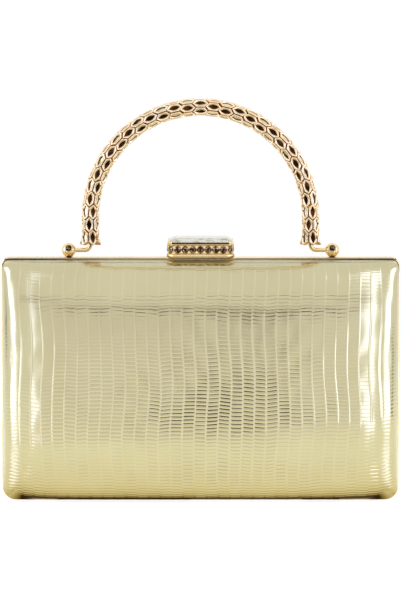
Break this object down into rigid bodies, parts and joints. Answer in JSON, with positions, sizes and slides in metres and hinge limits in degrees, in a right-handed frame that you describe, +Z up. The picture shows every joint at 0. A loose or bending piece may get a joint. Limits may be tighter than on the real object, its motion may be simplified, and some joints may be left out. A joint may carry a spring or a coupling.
{
  "type": "clutch bag",
  "caption": "Hard box clutch bag: two hinged pillow-shaped half shells in metal frames, an arch handle clad in petal links on ball posts, and a jewelled lever clasp.",
  "frame": {"origin": "middle of the bag's underside, on the surface that it stands on, below the parting plane of its two halves", "axes": "+X to the right as seen from the front, +Y from the front face to the rear face, +Z up"},
  "size_m": [0.2, 0.055, 0.2024],
  "materials": {
    "polished_gold_plate": "polished gilt plate on brass or zinc alloy",
    "rose_gold_chain": "polished rose-gold plate",
    "champagne_foil": "pale champagne-gold foil, embossed all over with wavy upright columns of fine ridges",
    "moulded_shell": "plain moulded plastic",
    "beige_satin": "beige satin over thin board",
    "spring_steel": "plain bright steel",
    "clear_crystal": "clear step-cut crystal over a foiled seat",
    "smoky_rhinestone": "dark smoky foiled rhinestone with gilt rims"
  },
  "bodies": {
    "rear_half": {"rear_shell": "moulded_shell", "rear_cover": "champagne_foil", "rear_frame": "polished_gold_plate", "rear_lining": "beige_satin", "left_hinge_rear_leaf": "polished_gold_plate", "right_hinge_rear_leaf": "polished_gold_plate", "left_hinge_pin": "spring_steel", "right_hinge_pin": "spring_steel", "left_handle_post": "polished_gold_plate", "right_handle_post": "polished_gold_plate", "left_post_stone": "smoky_rhinestone", "right_post_stone": "smoky_rhinestone", "left_post_nut": "spring_steel", "right_post_nut": "spring_steel", "clasp_bracket": "polished_gold_plate", "clasp_pivot_pin": "spring_steel", "clasp_spring": "spring_steel"},
    "front_half": {"front_shell": "moulded_shell", "front_cover": "champagne_foil", "front_frame": "polished_gold_plate", "front_lining": "beige_satin", "left_hinge_front_leaf": "polished_gold_plate", "right_hinge_front_leaf": "polished_gold_plate", "front_catch": "spring_steel"},
    "handle": {"handle_core": "polished_gold_plate", "handle_link_01": "rose_gold_chain", "handle_link_02": "rose_gold_chain", "handle_link_03": "rose_gold_chain", "handle_link_04": "rose_gold_chain", "handle_link_05": "rose_gold_chain", "handle_link_06": "rose_gold_chain", "handle_link_07": "rose_gold_chain", "handle_link_08": "rose_gold_chain", "handle_link_09": "rose_gold_chain", "handle_link_10": "rose_gold_chain", "handle_link_11": "rose_gold_chain", "handle_link_12": "rose_gold_chain", "handle_link_13": "rose_gold_chain", "handle_link_14": "rose_gold_chain", "handle_link_15": "rose_gold_chain", "handle_link_16": "rose_gold_chain", "handle_link_17": "rose_gold_chain", "handle_link_18": "rose_gold_chain", "handle_link_19": "rose_gold_chain", "handle_link_20": "rose_gold_chain", "handle_link_21": "rose_gold_chain", "handle_link_22": "rose_gold_chain", "handle_link_23": "rose_gold_chain", "handle_link_24": "rose_gold_chain", "handle_link_25": "rose_gold_chain", "handle_link_26": "rose_gold_chain", "handle_link_27": "rose_gold_chain", "handle_link_28": "rose_gold_chain", "handle_link_29": "rose_gold_chain", "handle_link_30": "rose_gold_chain", "handle_link_31": "rose_gold_chain"},
    "clasp": {"clasp_lever": "polished_gold_plate", "clasp_crystal": "clear_crystal", "clasp_stone_band": "smoky_rhinestone"}
  },
  "joints": [
    {"name": "front_opening", "type": "hinge", "parent": "rear_half", "child": "front_half", "pos_m": [0, 0, 0.0013], "axis": [1, 0, 0], "range_deg": [0, 80]},
    {"name": "handle_swing", "type": "hinge", "parent": "rear_half", "child": "handle", "pos_m": [0, 0.0018, 0.1264], "axis": [1, 0, 0], "range_deg": [-86, 72]},
    {"name": "clasp_tilt", "type": "hinge", "parent": "rear_half", "child": "clasp", "pos_m": [0, 0.002, 0.1262], "axis": [-1, 0, 0], "range_deg": [0, 10], "stiffness_Nm_per_rad": 0.02, "springref_deg": -28.65}
  ]
}
